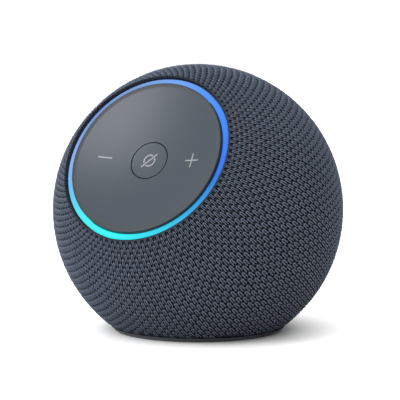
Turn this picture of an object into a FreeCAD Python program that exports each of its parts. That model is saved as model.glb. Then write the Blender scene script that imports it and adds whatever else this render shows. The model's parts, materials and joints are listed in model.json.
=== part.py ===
"""Smart home hub: a cloth-covered ball with a tilted round control face, a light ring and a speaker.

Origin: centre of the flat base, on the floor.  +Z up, the control face looks towards -Y and upwards.
Millimetres.  One STEP file per separate piece (or per set of equal pieces) is written to parts/.
"""
import FreeCAD
import Part
import math
import os

# ---------------------------------------------------------------- driving dimensions
# Overall
ball_diameter = 108.7        # over the knit cover
overall_height = 99.2        # floor to crown
face_tilt = 30.0             # angle of the control face's normal above the horizontal, degrees

# Cover and casing
cover_thickness = 0.9        # knit fabric with its bonded foam back
shell_wall = 2.2             # moulded half shells
lap_height = 2.0             # overlap of the two half shells
lap_clearance = 0.1
collar_wall = 2.2            # collar of the upper shell around the face opening

# Control face
opening_radius = 32.2        # free radius inside the fabric turned in at the face
ring_gap = 0.56              # dark gap between fabric and light ring
ring_width = 1.94            # light ring, radial
ring_sink = 1.22             # light ring below the fabric's rim
ring_depth = 4.2             # light ring, along the face's axis
light_wall = 0.2             # gap between light ring and panel
panel_proud = 1.2            # panel edge above the light ring
panel_dish = 3.7             # depth of the panel's hollow at its centre
panel_wall = 1.8
panel_skirt = 4.6            # height of the panel's outer skirt
panel_rim_round = 0.35
skirt_wall = 1.5
face_clearance = 0.05        # radial, between the fitted rings of the face
mark_depth = 0.5             # light windows moulded into the panel
mark_spacing = 17.9          # centre of the face to the centres of minus and plus
mark_length = 5.65
mark_stroke = 0.6

# Mute button
button_radius = 7.1
button_gap = 0.4             # open groove around the button
button_flange = 1.2          # retaining flange beyond the panel's hole
button_flange_thickness = 0.8
button_travel = 0.5
button_clearance = 0.3       # flange below the panel
post_radius = 1.4
post_height = 0.5
switch_reserve = 0.1         # left between post and switch at full travel
icon_radius = 2.5
icon_stroke = 0.6
icon_slash = 7.7
icon_gap = 0.7               # space on each side of the slash

# Carrier and boards behind the face
mixing_depth = 1.0           # light chamber under the ring
baffle_web = 0.8
led_board_thickness = 1.0
led_count = 12
led_size = (2.0, 1.6, 0.7)
led_seat = 0.8               # step of the carrier under the light board
carrier_wall = 1.6
carrier_rib = 1.4            # round rib that carries the panel
carrier_shell_gap = 0.6
board_thickness = 1.2
board_standoff = 0.4
control_board_margin = 1.2
microphone_count = 4
microphone_size = (3.7, 2.9, 1.1)
touch_film_thickness = 0.25

# Base
foot_visible = 1.5           # dark lip seen below the fabric
foot_thickness = 3.0
foot_edge_round = 0.8
floor_thickness = 2.0
ballast_radius = 25.0
ballast_bore = 8.0
ballast_thickness = 4.0
deflector_radius = 20.0
deflector_height = 8.0
slot_count = 40
slot_width = 2.2

# Loudspeaker, firing downwards
chamber_clearance = 0.4      # mounting plate above the power inlet
plate_thickness = 2.0
chamber_height = 25.5
chamber_wall = 2.0
driver_radius = 24.0
driver_flange = 1.4
gasket_thickness = 0.5
basket_wall = 1.2
basket_height = 12.0
cone_radius = 16.5
cone_depth = 6.0
cone_paper = 0.5
cone_travel = 2.0
coil_radius = 6.1
coil_wall = 0.15
winding = 0.25
magnet_gap = 0.25            # air on each side of the coil
magnet_radius = 14.5
magnet_height = 5.0
pole_plate = 2.0

# Electronics above the loudspeaker
face_room = 3.0              # free space kept behind the face's carrier
post_under_board = 2.0
layout_radius = 27.5         # board radius for which the places and sizes on the board are given
main_shield = (26.0, 20.0)
radio_shield = (14.0, 9.0)
shield_height = 2.8
radio_shield_height = 2.0
shield_sheet = 0.3
core_shift = 6.0             # heat path moved towards the back
radio_place = (-10.0, -11.0)
thermal_pad_size = (18.0, 16.0)
thermal_pad_thickness = 0.5
sink_width = 38.0
sink_plate = 2.0
sink_share = 0.38            # height of the fins, of the room between board and crown
fin_count = 9
fin_thickness = 1.0
antenna_thickness = 0.3

# Power inlet at the back
inlet_height = 16.0
inlet_radius = 6.0           # recess for the plug's grip
inlet_wall = 1.2
jack_width = 10.0
jack_length = 9.5
jack_bore = 3.0
jack_bore_depth = 8.0
jack_pin_radius = 1.05
jack_pin_recess = 1.0

# Fasteners
screw_radius = 1.0
head_radius = 1.9
head_height = 1.3
socket_radius = 0.8
column_radius = 3.0

# ---------------------------------------------------------------- derived sizes
ball_radius = ball_diameter / 2
centre_height = overall_height - ball_radius
shell_radius = ball_radius - cover_thickness
room_radius = shell_radius - shell_wall

# Heights along the face's axis, counted from the centre of the ball
rim_level = math.sqrt(ball_radius ** 2 - opening_radius ** 2)
ring_top = rim_level - ring_sink
ring_bottom = ring_top - ring_depth
panel_edge = ring_top + panel_proud
panel_centre = panel_edge - panel_dish
skirt_bottom = panel_edge - panel_skirt
web_top = ring_bottom - mixing_depth
led_board_top = web_top - baffle_web
seat_level = led_board_top - led_board_thickness
flange_top = seat_level - led_seat
flange_bottom = flange_top - carrier_wall
carrier_back = flange_bottom - carrier_wall
control_board_top = flange_bottom + board_standoff + board_thickness

# Radii around the face's axis
collar_bore = opening_radius + cover_thickness
collar_outside = collar_bore + collar_wall
ring_outside = opening_radius - ring_gap
ring_inside = ring_outside - ring_width
panel_radius = ring_inside - light_wall
panel_hole = button_radius + button_gap
dish_radius = (panel_radius ** 2 + panel_dish ** 2) / (2 * panel_dish)
carrier_flange_radius = math.sqrt(room_radius ** 2 - flange_top ** 2) - carrier_shell_gap
carrier_rib_inside = panel_radius - face_clearance - carrier_rib
control_board_radius = carrier_rib_inside - control_board_margin
button_top_of_flange = panel_centre - panel_wall + panel_hole ** 2 / (2 * dish_radius) - button_clearance
button_bottom = button_top_of_flange - button_flange_thickness
post_bottom = button_bottom - post_height
switch_top = post_bottom - button_travel - switch_reserve

# Heights above the floor
floor_top = foot_thickness + floor_thickness
ballast_top = floor_top + ballast_thickness
bezel_radius = inlet_radius + inlet_wall
chamber_floor = inlet_height + bezel_radius + chamber_clearance
plate_top = chamber_floor + plate_thickness
chamber_top = plate_top + chamber_height
board_bottom = chamber_top + post_under_board
board_top = board_bottom + board_thickness
tilt = math.radians(face_tilt)
flange_lowest = centre_height - carrier_flange_radius * math.cos(tilt) + flange_bottom * math.sin(tilt)
split_height = flange_lowest - 1.4
slot_bottom = floor_top + 2.5
slot_top = min(chamber_floor, split_height) - 2.5


def reach(radius, height):
    """Horizontal radius of a sphere around the ball's centre, at a height above the floor."""
    return math.sqrt(radius ** 2 - (centre_height - height) ** 2)


def behind_face(height):
    """Largest radius around the upright axis that stays clear behind the face's carrier."""
    room = carrier_back - face_room - (height - centre_height) * math.sin(tilt)
    return room / math.cos(tilt)


joint_column_place = reach(room_radius, split_height) - column_radius - 1.0
ear_overhang = 2.2
ear_room = reach(room_radius, chamber_floor) - column_radius - ear_overhang - 0.4
chamber_radius = min(joint_column_place - column_radius - 1.2, behind_face(plate_top), ear_room)
chamber_slope_room = carrier_back - face_room - chamber_radius * math.cos(tilt)
chamber_shoulder = max(centre_height + chamber_slope_room / math.sin(tilt), plate_top + chamber_wall)
chamber_ear_place = chamber_radius + ear_overhang
main_board_radius = behind_face(board_top)
layout_scale = main_board_radius / layout_radius
core_y = core_shift * layout_scale
sink_bottom = board_top + shield_height + thermal_pad_thickness
sink_height = sink_share * (centre_height + room_radius - board_top)
sink_radius = sink_width / 2 * layout_scale
jack_front = reach(room_radius, inlet_height - bezel_radius) - 2.4
driver_top = chamber_floor - gasket_thickness        # upper face of the driver's flange
spider_level = driver_top + 0.6 * basket_height
basket_top = driver_top + basket_height
washer_top = basket_top + 1.0 + pole_plate
magnet_top = washer_top + magnet_height

basket_shoulder = driver_radius - 3.2                # outside of the basket at its flange
basket_neck = magnet_radius + basket_wall            # outside of the basket at the magnet
basket_bore = cone_radius + 3.0                      # inside of the flange, which holds the surround
spider_outside = magnet_radius - 1.0
neck_level = driver_top - 0.3 + cone_depth
lead_radius = 0.6
lead_start = basket_top - 2.0                        # the leads leave the terminal here
basket_slope = (basket_shoulder - basket_neck) / basket_height
lead_y = basket_neck + basket_slope * (basket_top - lead_start) + lead_radius + 0.05
lead_spacing = 2.4
power_board_top = inlet_height - 5.3
power_board_bottom = power_board_top - board_thickness
joint_screw_seat = split_height - 5.0

# Screw circles: angles in degrees and radii
joint_angles = (50, 130, 230, 310)
ear_angles = (30, 150, 210, 330)
carrier_screw_angles = (45, 135, 225, 315)
carrier_screw_place = carrier_flange_radius - 1.2
board_screw_angles = (70, 110, 250, 290)
board_screw_place = main_board_radius - 3.0
driver_screw_angles = (45, 135, 225, 315)
control_screw_angles = (90, 210, 330)
control_screw_place = control_board_radius - 2.6
ballast_screw_angles = (0, 120, 240)
ballast_screw_place = ballast_radius - 2.6

# Flat cable behind the control board
flex_x = 10.0
flex_width = 8.0
flex_slot_y = 12.0

X = FreeCAD.Vector(1, 0, 0)
Y = FreeCAD.Vector(0, 1, 0)
Z = FreeCAD.Vector(0, 0, 1)
ORIGIN = FreeCAD.Vector(0, 0, 0)
centre = FreeCAD.Vector(0, 0, centre_height)


# ---------------------------------------------------------------- small helpers
def disc(radius, low, high, x=0.0, y=0.0):
    return Part.makeCylinder(radius, high - low, FreeCAD.Vector(x, y, low), Z)


def tube(inside, outside, low, high, x=0.0, y=0.0):
    return disc(outside, low, high, x, y).cut(disc(inside, low - 1, high + 1, x, y))


def block(size, x=0.0, y=0.0, low=0.0):
    """A box centred on x, y and standing on the height low."""
    corner = FreeCAD.Vector(x - size[0] / 2, y - size[1] / 2, low)
    return Part.makeBox(size[0], size[1], size[2], corner)


def turned(outline):
    """A solid of revolution about Z from (radius, height) corners."""
    corners = [FreeCAD.Vector(r, 0, h) for r, h in outline]
    face = Part.Face(Part.makePolygon(corners + [corners[0]]))
    return face.revolve(ORIGIN, Z, 360)


def around(place, angles):
    """Points on a circle, as (x, y) pairs."""
    return [(place * math.cos(math.radians(a)), place * math.sin(math.radians(a))) for a in angles]


def fused(shapes):
    return shapes[0].multiFuse(shapes[1:]).removeSplitter()


def group(shapes):
    return Part.makeCompound(shapes)


def on_face(shape):
    """Moves a piece from the face's own axes (Z along the face's normal) into the hub."""
    moved = shape.copy()
    moved.rotate(ORIGIN, X, 90 - face_tilt)
    moved.translate(centre)
    return moved


def face_point(x, y, level):
    """A point given in the face's own axes, in the hub's axes."""
    up = FreeCAD.Vector(0, math.sin(tilt), math.cos(tilt))
    out = FreeCAD.Vector(0, -math.cos(tilt), math.sin(tilt))
    return centre + X * x + up * y + out * level


def ball(radius):
    return Part.makeSphere(radius, centre)


def slab(low, high):
    """Everything between two heights, wider than the hub."""
    return disc(ball_diameter, low, high)


def screw(x, y, seat, length, up=1):
    """A cap screw: the head stands on the seat, the shank runs the other way."""
    shank_low = seat - length if up > 0 else seat
    shank = disc(screw_radius, shank_low, shank_low + length, x, y)
    head_low = seat if up > 0 else seat - head_height
    head = disc(head_radius, head_low, head_low + head_height, x, y)
    socket_low = head_low + head_height / 2 if up > 0 else head_low
    socket = disc(socket_radius, socket_low, socket_low + head_height / 2, x, y)
    return head.fuse(shank).cut(socket)


def wire(points, radius):
    """A round wire along straight stretches with rounded corners."""
    pieces = []
    for start, end in zip(points, points[1:]):
        run = end - start
        pieces.append(Part.makeCylinder(radius, run.Length, start, run))
    for corner in points[1:-1]:
        pieces.append(Part.makeSphere(radius, corner))
    return fused(pieces)


def ribbon(points, width, thickness, x):
    """A flat cable: (y, z) route seen from the side, drawn out along X."""
    sides = ([], [])
    for index, (y, z) in enumerate(points):
        before = points[max(index - 1, 0)]
        after = points[min(index + 1, len(points) - 1)]
        along = FreeCAD.Vector(0, after[0] - before[0], after[1] - before[1]).normalize()
        across = along.cross(X) * (thickness / 2)
        here = FreeCAD.Vector(x - width / 2, y, z)
        sides[0].append(here + across)
        sides[1].append(here - across)
    corners = sides[0] + sides[1][::-1]
    return Part.Face(Part.makePolygon(corners + [corners[0]])).extrude(X * width)


# ---------------------------------------------------------------- cover and casing
def face_hole(radius, low=0.0):
    return on_face(disc(radius, low, ball_diameter))


def inlet_hole(radius):
    start = FreeCAD.Vector(0, jack_front, inlet_height)
    return Part.makeCylinder(radius, ball_diameter, start, Y)


def knit_cover():
    skin = ball(ball_radius).cut(ball(shell_radius))
    skin = skin.common(slab(foot_visible, ball_diameter)).cut(face_hole(opening_radius))
    turn_in = on_face(tube(opening_radius, collar_bore, flange_top, rim_level))
    cover = skin.cut(inlet_hole(bezel_radius)).fuse(turn_in.common(ball(ball_radius)))
    return cover.removeSplitter()


def half_shell_wall():
    return ball(shell_radius).cut(ball(room_radius))


def lap(radius, height):
    """The inner half of the wall, which the lower shell carries up into the upper one."""
    return ball(radius).common(slab(split_height, split_height + height))


def columns(places, low, high):
    return [disc(column_radius, low, high, x, y) for x, y in places]


def upper_shell():
    shell = half_shell_wall().common(slab(split_height, ball_diameter))
    shell = shell.cut(lap(room_radius + shell_wall / 2 + lap_clearance, lap_height + lap_clearance))
    shell = shell.cut(face_hole(collar_bore))
    collar = on_face(tube(collar_bore, collar_outside, flange_top, rim_level)).common(ball(shell_radius))
    pieces = [shell, collar]
    for x, y in around(carrier_screw_place, carrier_screw_angles):
        boss = on_face(disc(2.4, flange_top, rim_level, x, y)).common(ball(shell_radius))
        pieces.append(boss.cut(face_hole(collar_bore)))
    places = around(joint_column_place, joint_angles)
    rib_low = split_height + lap_height + 1
    for (x, y), angle in zip(places, joint_angles):
        pieces.append(disc(column_radius, split_height, rib_low + 8, x, y))
        rib = Part.makeBox(10, 2.4, 8, FreeCAD.Vector(joint_column_place, -1.2, rib_low))
        rib.rotate(ORIGIN, Z, angle)
        pieces.append(rib.common(ball(room_radius + 0.5)))
    shell = fused(pieces)
    for x, y in places:
        shell = shell.cut(disc(screw_radius, split_height - 1, split_height + 8, x, y))
    for x, y in around(carrier_screw_place, carrier_screw_angles):
        shell = shell.cut(on_face(disc(screw_radius, flange_top - 1, flange_top + 3.2, x, y)))
    return shell.cut(inlet_hole(bezel_radius))


def lower_shell():
    wall = half_shell_wall().common(slab(foot_thickness, split_height))
    floor = ball(shell_radius).common(slab(foot_thickness, floor_top))
    lip = lap(room_radius + shell_wall / 2, lap_height).cut(ball(room_radius))
    pieces = [wall, floor, lip]
    inside = ball(shell_radius - 0.5).common(slab(foot_thickness + 0.5, ball_diameter))
    joints = around(joint_column_place, joint_angles)
    ears = around(chamber_ear_place, ear_angles)
    for post in columns(joints, 0, split_height) + columns(ears, 0, chamber_floor):
        pieces.append(post.common(inside))
    for x, y in power_posts():
        pieces.append(disc(2.0, foot_thickness, power_board_bottom, x, y))
    shell = fused(pieces)
    cuts = [inlet_hole(bezel_radius)]
    for x, y in joints:
        cuts.append(disc(screw_radius, 0, split_height + 1, x, y))
        cuts.append(disc(head_radius, 0, joint_screw_seat, x, y))
    for x, y in ears:
        cuts.append(disc(screw_radius, chamber_floor - 7, chamber_floor + 1, x, y))
    for x, y in power_posts():
        cuts.append(disc(screw_radius, power_board_bottom - 3, power_board_bottom + 1, x, y))
    for x, y in around(ballast_screw_place, ballast_screw_angles):
        cuts.append(disc(screw_radius, floor_top - 1.5, floor_top + 1, x, y))
    return shell.cut(group(cuts + sound_slots()))


def sound_slots():
    """Upright slots all round, left out at the columns and at the power inlet."""
    blocked = [(angle, 7) for angle in joint_angles + ear_angles] + [(90, 14)]
    slots = []
    for index in range(slot_count):
        angle = 360 * (index + 0.5) / slot_count
        if any(abs(angle - middle) < width for middle, width in blocked):
            continue
        low_corner = FreeCAD.Vector(reach(room_radius, slot_bottom) - 4, -slot_width / 2, slot_bottom)
        slot = Part.makeBox(ball_diameter, slot_width, slot_top - slot_bottom, low_corner)
        slot.rotate(ORIGIN, Z, angle)
        slots.append(slot)
    return slots


def rubber_foot():
    lip = ball(ball_radius).common(slab(0, foot_visible))
    inner = disc(reach(shell_radius, foot_visible) - face_clearance, foot_visible / 2, foot_thickness)
    foot = lip.fuse(inner).removeSplitter()
    bottom = [edge for edge in foot.Edges if edge.BoundBox.ZMax < 0.001]
    return foot.makeFillet(foot_edge_round, bottom)


# ---------------------------------------------------------------- control face
def dish(extra=0.0):
    """The ball whose surface is the hollow of the panel."""
    return Part.makeSphere(dish_radius + extra, FreeCAD.Vector(0, 0, panel_centre + dish_radius))


def panel_blank(radius, low):
    return disc(radius, low, panel_edge).cut(dish())


def mark_outlines():
    """The minus and the plus, as upright bars cut through the panel's surface."""
    bar = (mark_length, mark_stroke, panel_wall * 3)
    cross = (mark_stroke, mark_length, panel_wall * 3)
    low = panel_centre
    minus = block(bar, -mark_spacing, 0, low)
    plus = block(bar, mark_spacing, 0, low).fuse(block(cross, mark_spacing, 0, low)).removeSplitter()
    return group([minus, plus])


def window_layer(radius):
    """The thin top layer of the panel, as deep as the light windows."""
    return panel_blank(radius, panel_centre - panel_wall).cut(panel_below(mark_depth))


def panel_below(depth):
    block_under = disc(panel_radius + 1, panel_centre - 2 * panel_wall, panel_edge)
    return block_under.cut(dish(depth))


def control_panel():
    plate = panel_blank(panel_radius, skirt_bottom).common(dish(panel_wall))
    skirt = panel_blank(panel_radius, skirt_bottom).cut(disc(panel_radius - skirt_wall, 0, panel_edge))
    panel = plate.fuse(skirt).removeSplitter().cut(disc(panel_hole, 0, panel_edge))
    rim = [e for e in panel.Edges if e.BoundBox.ZMin > panel_edge - 0.01 and len(e.Vertexes) == 1]
    panel = panel.makeFillet(panel_rim_round, rim)
    return on_face(panel.cut(panel_windows()))


def panel_windows():
    return mark_outlines().common(window_layer(panel_radius))


def icon_outline():
    """A slashed circle: a ring broken on both sides of a slanting bar."""
    low = panel_centre - panel_wall
    ring = tube(icon_radius - icon_stroke / 2, icon_radius + icon_stroke / 2, low, panel_edge)
    gap = block((2 * icon_slash, icon_stroke + 2 * icon_gap, 20), 0, 0, low)
    bar = block((icon_slash, icon_stroke, panel_edge - low), 0, 0, low)
    ring = ring.cut(turned_by(gap, 45))
    return ring.fuse(turned_by(bar, 45))


def turned_by(shape, angle):
    shape.rotate(ORIGIN, Z, angle)
    return shape


def mute_icon_flat():
    return icon_outline().common(window_layer(button_radius))


def mute_button():
    cap = panel_blank(button_radius, button_top_of_flange)
    flange = disc(panel_hole + button_flange, button_bottom, button_top_of_flange)
    post = disc(post_radius, post_bottom, button_bottom)
    button = fused([cap, flange, post])
    return on_face(button.cut(mute_icon_flat()))


def return_pad():
    """Silicone dome ring between the control board and the button's flange."""
    foot = panel_hole + button_flange
    outline = [
        (foot - 0.6, control_board_top), (foot, control_board_top), (foot, control_board_top + 0.4),
        (foot - 1.7, button_bottom), (foot - 2.4, button_bottom), (foot - 0.6, control_board_top + 0.4)]
    return on_face(turned(outline))


def mute_switch():
    body = block((5.0, 5.0, 0.9), 0, 0, control_board_top)
    plunger = disc(1.1, control_board_top, switch_top)
    return on_face(body.fuse(plunger))


def touch_film():
    top = dish(panel_wall)
    outside = panel_radius - skirt_wall - 1.2
    film = tube(panel_hole + button_flange + 0.8, outside, skirt_bottom - 4, panel_edge)
    return on_face(film.common(dish(panel_wall + touch_film_thickness)).cut(top))


def led_set(size, low):
    chips = []
    for index in range(led_count):
        chip = block((size[1], size[0], size[2]), (ring_inside + ring_outside) / 2, 0, low)
        chips.append(turned_by(chip, 360 * (index + 0.5) / led_count))
    return group(chips)


def light_baffle():
    inside = panel_radius + face_clearance
    outside = opening_radius - face_clearance
    web = tube(inside, outside, led_board_top, web_top)
    step = tube(inside, outside, web_top, ring_bottom).cut(
        disc(ring_outside - 0.4, web_top, ring_bottom).cut(disc(ring_inside + 0.4, web_top, ring_bottom)))
    outer = tube(ring_outside + face_clearance, outside, ring_bottom, ring_top - 1.0)
    baffle = fused([web, step, outer])
    windows = led_set([size + 0.3 for size in led_size[:2]] + [baffle_web + 0.2], led_board_top - 0.1)
    return on_face(baffle.cut(windows))


def light_ring():
    ring = tube(ring_inside, ring_outside, ring_bottom, ring_top)
    top = [edge for edge in ring.Edges if edge.BoundBox.ZMin > ring_top - 0.01]
    return on_face(ring.makeFillet(0.3, top))


def led_board():
    inside = panel_radius + face_clearance
    return on_face(tube(inside, opening_radius - face_clearance, seat_level, led_board_top))


def ring_leds():
    return on_face(led_set(led_size, led_board_top))


def face_carrier():
    rib_outside = panel_radius - face_clearance
    floor = disc(rib_outside, carrier_back, flange_bottom)
    rib = tube(carrier_rib_inside, rib_outside, carrier_back, skirt_bottom)
    flange = tube(carrier_rib_inside, carrier_flange_radius, flange_bottom, flange_top)
    seat = tube(carrier_rib_inside, opening_radius - face_clearance, flange_top, seat_level)
    pieces = [floor, rib, flange, seat]
    posts = around(control_screw_place, control_screw_angles)
    for x, y in posts:
        pieces.append(disc(2.2, carrier_back, flange_bottom + board_standoff, x, y))
    carrier = fused(pieces)
    holes = []
    for x, y in around(carrier_screw_place, carrier_screw_angles):
        holes.append(disc(screw_radius, flange_bottom - 1, flange_top + 1, x, y))
    for x, y in posts:
        holes.append(disc(screw_radius, carrier_back - 1, control_board_top, x, y))
    holes.append(block((flex_width + 2, 3.0, 10), flex_x, flex_slot_y, carrier_back - 4))
    return on_face(carrier.cut(group(holes)))


def control_board():
    board = disc(control_board_radius, flange_bottom + board_standoff, control_board_top)
    for x, y in around(control_screw_place, control_screw_angles):
        board = board.cut(disc(screw_radius, 0, ball_diameter, x, y))
    return on_face(board)


def microphones():
    angles = [45 + 360 * index / microphone_count for index in range(microphone_count)]
    places = around(control_board_radius - 4.5, angles)
    return on_face(group([block(microphone_size, x, y, control_board_top) for x, y in places]))


def control_chips():
    places = (((7.0, 7.0, 0.9), -13.5, 0.0), ((5.0, 5.0, 0.8), 13.5, -4.0), ((4.0, 3.0, 0.8), 0.0, -14.0))
    return on_face(group([block(size, x, y, control_board_top) for size, x, y in places]))


def carrier_screws():
    places = around(carrier_screw_place, carrier_screw_angles)
    length = flange_top - flange_bottom + 3.0
    return on_face(group([screw(x, y, flange_bottom, length, up=-1) for x, y in places]))


def control_screws():
    length = board_thickness + board_standoff + 1.4
    places = around(control_screw_place, control_screw_angles)
    return on_face(group([screw(x, y, control_board_top, length) for x, y in places]))


def control_flex():
    """Flat cable from the back of the control board down to the main board."""
    start = face_point(0, flex_slot_y, flange_bottom + board_standoff)
    behind = face_point(0, flex_slot_y, carrier_back - 1.5)
    end_y = core_y - sink_radius - 1.5
    route = [(start.y, start.z), (behind.y, behind.z), (end_y, board_top + 5), (end_y, board_top)]
    return ribbon(route, flex_width, 0.3, flex_x)


# ---------------------------------------------------------------- boards and heat path
def main_board():
    board = disc(main_board_radius, board_bottom, board_top)
    for x, y in around(board_screw_place, board_screw_angles):
        board = board.cut(disc(screw_radius, 0, ball_diameter, x, y))
    return board


def on_board(size, height, x, y, low=board_top):
    """A block on the main board, whose size and place grow with the board."""
    scaled = (size[0] * layout_scale, size[1] * layout_scale, height)
    return block(scaled, x * layout_scale, y * layout_scale, low)


def shield_can(size, height, x, y):
    wall = 2 * shield_sheet / layout_scale
    inside = (size[0] - wall, size[1] - wall)
    return on_board(size, height, x, y).cut(on_board(inside, height - shield_sheet, x, y))


def shield_cans():
    return group([
        shield_can(main_shield, shield_height, 0, core_shift),
        shield_can(radio_shield, radio_shield_height, *radio_place)])


def main_chips():
    return group([
        on_board((14.0, 14.0), shield_height - shield_sheet, 0, core_shift),
        on_board((6.0, 5.0), 1.0, *radio_place)])


def thermal_pad():
    return on_board(thermal_pad_size, thermal_pad_thickness, 0, core_shift, board_top + shield_height)


def heat_sink():
    plate = disc(sink_radius, sink_bottom, sink_bottom + sink_plate, 0, core_y)
    fins = []
    pitch = (2 * sink_radius - 6) / (fin_count - 1)
    for index in range(fin_count):
        x = (index - (fin_count - 1) / 2) * pitch
        length = 2 * math.sqrt(sink_radius ** 2 - x ** 2) - 3
        fins.append(block((fin_thickness, length, sink_height), x, core_y, sink_bottom + sink_plate / 2))
    return fused([plate] + fins)


def board_screws():
    places = around(board_screw_place, board_screw_angles)
    return group([screw(x, y, board_top, board_thickness + post_under_board) for x, y in places])


def antenna(side):
    patch = ball(room_radius).cut(ball(room_radius - antenna_thickness))
    low = centre_height + 0.3 * room_radius
    window = Part.makeBox(room_radius, 22, 12, FreeCAD.Vector(0, -6, low))
    patch = patch.common(window)
    if side < 0:
        patch = patch.mirror(ORIGIN, X)
    return patch


def antenna_cables():
    """Thin coaxial leads from the radio's corner of the main board up to both antennas."""
    cables = []
    height = centre_height + 0.3 * room_radius + 2
    for side, y in ((-1, -2.0), (1, 2.0)):
        inside = math.sqrt(room_radius ** 2 - (height - centre_height) ** 2 - y ** 2) - 0.9
        edge = side * (main_board_radius - 2.5)
        points = [
            FreeCAD.Vector(edge, y, board_top), FreeCAD.Vector(edge, y, board_top + 6),
            FreeCAD.Vector(side * inside, y, height)]
        cables.append(wire(points, 0.5))
    return group(cables)


# ---------------------------------------------------------------- loudspeaker
def chamber_cup():
    top_radius = behind_face(chamber_top)

    def outline(inset):
        return [
            (0, plate_top), (chamber_radius - inset, plate_top), (chamber_radius - inset, chamber_shoulder),
            (top_radius - inset, chamber_top - inset), (0, chamber_top - inset)]

    cup = turned(outline(0)).cut(turned(outline(chamber_wall)))
    pieces = [cup]
    for x, y in around(board_screw_place, board_screw_angles):
        pieces.append(disc(2.2, chamber_top - chamber_wall, board_bottom, x, y))
    cup = fused(pieces)
    for x, y in around(board_screw_place, board_screw_angles):
        cup = cup.cut(disc(screw_radius, chamber_top, board_bottom + 1, x, y))
    for x in (-1.5, 1.5):
        cup = cup.cut(disc(lead_radius, chamber_top - chamber_wall - 1, chamber_top + 1, x, lead_y))
    return cup


def chamber_plate():
    pieces = [disc(chamber_radius, chamber_floor, plate_top)]
    ears = around(chamber_ear_place, ear_angles)
    pieces += columns(ears, chamber_floor, plate_top)
    plate = fused(pieces).cut(disc(driver_radius - 3.0, 0, ball_diameter))
    for x, y in ears:
        plate = plate.cut(disc(screw_radius, 0, ball_diameter, x, y))
    for x, y in around(driver_radius - 1.5, driver_screw_angles):
        plate = plate.cut(disc(screw_radius, chamber_floor - 1, plate_top + 1, x, y))
    return plate


def chamber_screws():
    places = around(chamber_ear_place, ear_angles)
    return group([screw(x, y, plate_top, plate_thickness + 6) for x, y in places])


def chamber_gasket():
    return tube(driver_radius - 3.0, driver_radius, driver_top, chamber_floor).cut(
        group([disc(screw_radius, 0, ball_diameter, x, y) for x, y in driver_screw_places()]))


def driver_screw_places():
    return around(driver_radius - 1.5, driver_screw_angles)


def driver_screws():
    seat = driver_top - driver_flange
    length = driver_flange + gasket_thickness + plate_thickness
    return group([screw(x, y, seat, length, up=-1) for x, y in driver_screw_places()])


def driver_basket():
    flange = tube(basket_bore, driver_radius, driver_top - driver_flange, driver_top)
    outline = [
        (basket_shoulder - basket_wall, driver_top), (basket_shoulder, driver_top),
        (basket_neck, basket_top), (basket_neck, basket_top + 1.0), (coil_radius + 2.0, basket_top + 1.0),
        (coil_radius + 2.0, basket_top), (basket_neck - basket_wall, basket_top)]
    basket = flange.fuse(turned(outline))
    inside_basket = turned([
        (0, driver_top), (basket_shoulder - 0.4, driver_top),
        (basket_neck - 0.4, basket_top), (0, basket_top)])
    ledge = tube(spider_outside, basket_shoulder, spider_level, spider_level + 1.0)
    basket = basket.fuse(ledge.common(inside_basket))
    window_low = driver_top + 2.0
    for angle in (0, 90):
        window = block((60, 14, spider_level - window_low - 1.0), 0, 0, window_low)
        basket = basket.cut(turned_by(window, angle))
    for x, y in driver_screw_places():
        basket = basket.cut(disc(screw_radius, 0, driver_top + 1, x, y))
    return basket


def magnet_ring(bore, low, high):
    return tube(bore, magnet_radius, low, high)


def front_washer():
    gap_outside = coil_radius + coil_wall + winding + magnet_gap
    return magnet_ring(gap_outside, basket_top + 1.0, washer_top)


def driver_magnet():
    return magnet_ring(coil_radius + 2.0, washer_top, magnet_top)


def pole_piece():
    pole = disc(coil_radius - magnet_gap, basket_top + 0.5, magnet_top)
    return pole.fuse(disc(magnet_radius, magnet_top, magnet_top + pole_plate)).removeSplitter()


def voice_coil():
    former = tube(coil_radius, coil_radius + coil_wall, neck_level, washer_top)
    turns = tube(coil_radius, coil_radius + coil_wall + winding, basket_top + 1.0 - 1.0, washer_top - 0.2)
    return former.fuse(turns).removeSplitter()


def driver_cone():
    outer = coil_radius + coil_wall
    edge = driver_top - 0.3
    return turned([
        (outer, neck_level), (outer, neck_level + cone_paper), (cone_radius, edge + cone_paper),
        (cone_radius + 0.8, edge + cone_paper), (cone_radius + 0.8, edge), (cone_radius, edge)])


def dust_cap():
    radius = coil_radius + coil_wall
    rise = 2.0
    sphere = (radius ** 2 + rise ** 2) / (2 * rise)
    middle = FreeCAD.Vector(0, 0, neck_level - rise + sphere)
    dome = Part.makeSphere(sphere, middle).cut(Part.makeSphere(sphere - 0.4, middle))
    return dome.common(disc(radius - 0.05, neck_level - rise - 1, neck_level))


def surround():
    """Half-round rubber roll from the cone's edge to the basket's flange."""
    inner = cone_radius + 0.8
    outer = basket_bore
    middle = (inner + outer) / 2
    steps = [math.radians(180 + 180 * index / 8) for index in range(9)]

    def half_round(roll):
        return [(middle + roll * math.cos(a), driver_top - 0.3 + roll * math.sin(a)) for a in steps]

    half_width = (outer - inner) / 2
    return turned(half_round(half_width) + half_round(half_width - 0.3)[::-1])


def spider():
    """Corrugated disc that centres the coil."""
    inner = coil_radius + coil_wall
    waves = 5
    step = (spider_outside + 1.2 - inner) / (2 * waves)
    lower = []
    for index in range(2 * waves + 1):
        drop = 0.5 if index % 2 else 0.0
        lower.append((inner + index * step, spider_level - 0.35 - drop))
    upper = [(radius, height + 0.3) for radius, height in reversed(lower)]
    return turned(lower + upper)


def lead_terminal():
    basket_outside = turned([(0, driver_top), (basket_shoulder, driver_top), (basket_neck, basket_top),
                             (0, basket_top)])
    return block((6.0, 3.0, 3.0), 0, lead_y, lead_start - 3.0).cut(basket_outside)


def speaker_leads():
    return group([disc(lead_radius, lead_start, board_bottom, x, lead_y) for x in (-1.5, 1.5)])


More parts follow.
